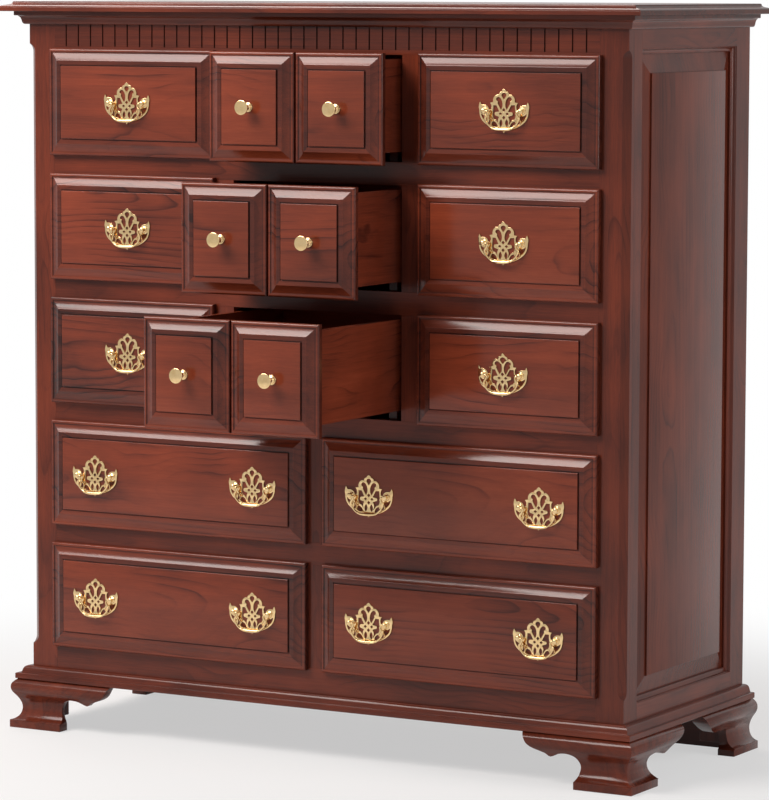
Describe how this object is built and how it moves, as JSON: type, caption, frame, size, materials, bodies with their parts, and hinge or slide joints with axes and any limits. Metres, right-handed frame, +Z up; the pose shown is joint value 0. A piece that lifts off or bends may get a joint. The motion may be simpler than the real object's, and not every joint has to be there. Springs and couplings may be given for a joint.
{
  "type": "chest of drawers",
  "caption": "Tall wooden chest with raised-panel drawers, blocked middle drawers standing open, moulded top, ogee bracket feet, pierced bail pulls and round knobs.",
  "frame": {"origin": "on the floor, under the middle of the bounding box of the whole chest with its middle drawers open as in the picture", "axes": "+Z up, the drawers face and pull out towards -Y, +X to the right of someone facing the drawers"},
  "size_m": [1.386, 0.86, 1.428],
  "materials": {
    "stained_cherry": "satin lacquer over a dark cherry stain",
    "back_panel_wood": "plain unpolished",
    "brass": "polished"
  },
  "bodies": {
    "case": {"top_board": "stained_cherry", "crown_molding": "stained_cherry", "divider_frame": "stained_cherry", "right_side_frame": "stained_cherry", "left_side_frame": "stained_cherry", "right_side_panel": "stained_cherry", "left_side_panel": "stained_cherry", "back_panel": "back_panel_wood", "base_molding": "stained_cherry", "front_left_foot": "stained_cherry", "front_right_foot": "stained_cherry", "rear_left_foot": "stained_cherry", "rear_right_foot": "stained_cherry"},
    "drawer_r1_left": {"drawer_r1_left": "stained_cherry", "pull_plate_r1_left": "brass"},
    "bail_r1_left": {"pull_bail_r1_left": "brass"},
    "drawer_r1_center": {"drawer_r1_center": "stained_cherry", "knob_r1_center_a": "brass", "knob_r1_center_b": "brass"},
    "drawer_r1_right": {"drawer_r1_right": "stained_cherry", "pull_plate_r1_right": "brass"},
    "bail_r1_right": {"pull_bail_r1_right": "brass"},
    "drawer_r2_left": {"drawer_r2_left": "stained_cherry", "pull_plate_r2_left": "brass"},
    "bail_r2_left": {"pull_bail_r2_left": "brass"},
    "drawer_r2_center": {"drawer_r2_center": "stained_cherry", "knob_r2_center_a": "brass", "knob_r2_center_b": "brass"},
    "drawer_r2_right": {"drawer_r2_right": "stained_cherry", "pull_plate_r2_right": "brass"},
    "bail_r2_right": {"pull_bail_r2_right": "brass"},
    "drawer_r3_left": {"drawer_r3_left": "stained_cherry", "pull_plate_r3_left": "brass"},
    "bail_r3_left": {"pull_bail_r3_left": "brass"},
    "drawer_r3_center": {"drawer_r3_center": "stained_cherry", "knob_r3_center_a": "brass", "knob_r3_center_b": "brass"},
    "drawer_r3_right": {"drawer_r3_right": "stained_cherry", "pull_plate_r3_right": "brass"},
    "bail_r3_right": {"pull_bail_r3_right": "brass"},
    "drawer_r4_left": {"drawer_r4_left": "stained_cherry", "pull_plate_r4_left_a": "brass", "pull_plate_r4_left_b": "brass"},
    "bail_r4_left_a": {"pull_bail_r4_left_a": "brass"},
    "bail_r4_left_b": {"pull_bail_r4_left_b": "brass"},
    "drawer_r4_right": {"drawer_r4_right": "stained_cherry", "pull_plate_r4_right_a": "brass", "pull_plate_r4_right_b": "brass"},
    "bail_r4_right_a": {"pull_bail_r4_right_a": "brass"},
    "bail_r4_right_b": {"pull_bail_r4_right_b": "brass"},
    "drawer_r5_left": {"drawer_r5_left": "stained_cherry", "pull_plate_r5_left_a": "brass", "pull_plate_r5_left_b": "brass"},
    "bail_r5_left_a": {"pull_bail_r5_left_a": "brass"},
    "bail_r5_left_b": {"pull_bail_r5_left_b": "brass"},
    "drawer_r5_right": {"drawer_r5_right": "stained_cherry", "pull_plate_r5_right_a": "brass", "pull_plate_r5_right_b": "brass"},
    "bail_r5_right_a": {"pull_bail_r5_right_a": "brass"},
    "bail_r5_right_b": {"pull_bail_r5_right_b": "brass"}
  },
  "joints": [
    {"name": "slide_r1_left", "type": "slide", "parent": "case", "child": "drawer_r1_left", "axis": [0, -1, 0], "range_m": [0, 0.4]},
    {"name": "swing_r1_left", "type": "hinge", "parent": "drawer_r1_left", "child": "bail_r1_left", "pos_m": [-0.40933, -0.11575, 1.234], "axis": [-1, 0, 0], "range_deg": [0, 80]},
    {"name": "slide_r1_center", "type": "slide", "parent": "case", "child": "drawer_r1_center", "axis": [0, -1, 0], "range_m": [-0.069, 0.331]},
    {"name": "slide_r1_right", "type": "slide", "parent": "case", "child": "drawer_r1_right", "axis": [0, -1, 0], "range_m": [0, 0.4]},
    {"name": "swing_r1_right", "type": "hinge", "parent": "drawer_r1_right", "child": "bail_r1_right", "pos_m": [0.40933, -0.11575, 1.234], "axis": [-1, 0, 0], "range_deg": [0, 80]},
    {"name": "slide_r2_left", "type": "slide", "parent": "case", "child": "drawer_r2_left", "axis": [0, -1, 0], "range_m": [0, 0.4]},
    {"name": "swing_r2_left", "type": "hinge", "parent": "drawer_r2_left", "child": "bail_r2_left", "pos_m": [-0.40933, -0.11575, 0.993], "axis": [-1, 0, 0], "range_deg": [0, 80]},
    {"name": "slide_r2_center", "type": "slide", "parent": "case", "child": "drawer_r2_center", "axis": [0, -1, 0], "range_m": [-0.167, 0.233]},
    {"name": "slide_r2_right", "type": "slide", "parent": "case", "child": "drawer_r2_right", "axis": [0, -1, 0], "range_m": [0, 0.4]},
    {"name": "swing_r2_right", "type": "hinge", "parent": "drawer_r2_right", "child": "bail_r2_right", "pos_m": [0.40933, -0.11575, 0.993], "axis": [-1, 0, 0], "range_deg": [0, 80]},
    {"name": "slide_r3_left", "type": "slide", "parent": "case", "child": "drawer_r3_left", "axis": [0, -1, 0], "range_m": [0, 0.4]},
    {"name": "swing_r3_left", "type": "hinge", "parent": "drawer_r3_left", "child": "bail_r3_left", "pos_m": [-0.40933, -0.11575, 0.752], "axis": [-1, 0, 0], "range_deg": [0, 80]},
    {"name": "slide_r3_center", "type": "slide", "parent": "case", "child": "drawer_r3_center", "axis": [0, -1, 0], "range_m": [-0.2955, 0.1045]},
    {"name": "slide_r3_right", "type": "slide", "parent": "case", "child": "drawer_r3_right", "axis": [0, -1, 0], "range_m": [0, 0.4]},
    {"name": "swing_r3_right", "type": "hinge", "parent": "drawer_r3_right", "child": "bail_r3_right", "pos_m": [0.40933, -0.11575, 0.752], "axis": [-1, 0, 0], "range_deg": [0, 80]},
    {"name": "slide_r4_left", "type": "slide", "parent": "case", "child": "drawer_r4_left", "axis": [0, -1, 0], "range_m": [0, 0.4]},
    {"name": "swing_r4_left_a", "type": "hinge", "parent": "drawer_r4_left", "child": "bail_r4_left_a", "pos_m": [-0.486, -0.11575, 0.511], "axis": [-1, 0, 0], "range_deg": [0, 80]},
    {"name": "swing_r4_left_b", "type": "hinge", "parent": "drawer_r4_left", "child": "bail_r4_left_b", "pos_m": [-0.128, -0.11575, 0.511], "axis": [-1, 0, 0], "range_deg": [0, 80]},
    {"name": "slide_r4_right", "type": "slide", "parent": "case", "child": "drawer_r4_right", "axis": [0, -1, 0], "range_m": [0, 0.4]},
    {"name": "swing_r4_right_a", "type": "hinge", "parent": "drawer_r4_right", "child": "bail_r4_right_a", "pos_m": [0.128, -0.11575, 0.511], "axis": [-1, 0, 0], "range_deg": [0, 80]},
    {"name": "swing_r4_right_b", "type": "hinge", "parent": "drawer_r4_right", "child": "bail_r4_right_b", "pos_m": [0.486, -0.11575, 0.511], "axis": [-1, 0, 0], "range_deg": [0, 80]},
    {"name": "slide_r5_left", "type": "slide", "parent": "case", "child": "drawer_r5_left", "axis": [0, -1, 0], "range_m": [0, 0.4]},
    {"name": "swing_r5_left_a", "type": "hinge", "parent": "drawer_r5_left", "child": "bail_r5_left_a", "pos_m": [-0.486, -0.11575, 0.27], "axis": [-1, 0, 0], "range_deg": [0, 80]},
    {"name": "swing_r5_left_b", "type": "hinge", "parent": "drawer_r5_left", "child": "bail_r5_left_b", "pos_m": [-0.128, -0.11575, 0.27], "axis": [-1, 0, 0], "range_deg": [0, 80]},
    {"name": "slide_r5_right", "type": "slide", "parent": "case", "child": "drawer_r5_right", "axis": [0, -1, 0], "range_m": [0, 0.4]},
    {"name": "swing_r5_right_a", "type": "hinge", "parent": "drawer_r5_right", "child": "bail_r5_right_a", "pos_m": [0.128, -0.11575, 0.27], "axis": [-1, 0, 0], "range_deg": [0, 80]},
    {"name": "swing_r5_right_b", "type": "hinge", "parent": "drawer_r5_right", "child": "bail_r5_right_b", "pos_m": [0.486, -0.11575, 0.27], "axis": [-1, 0, 0], "range_deg": [0, 80]}
  ]
}
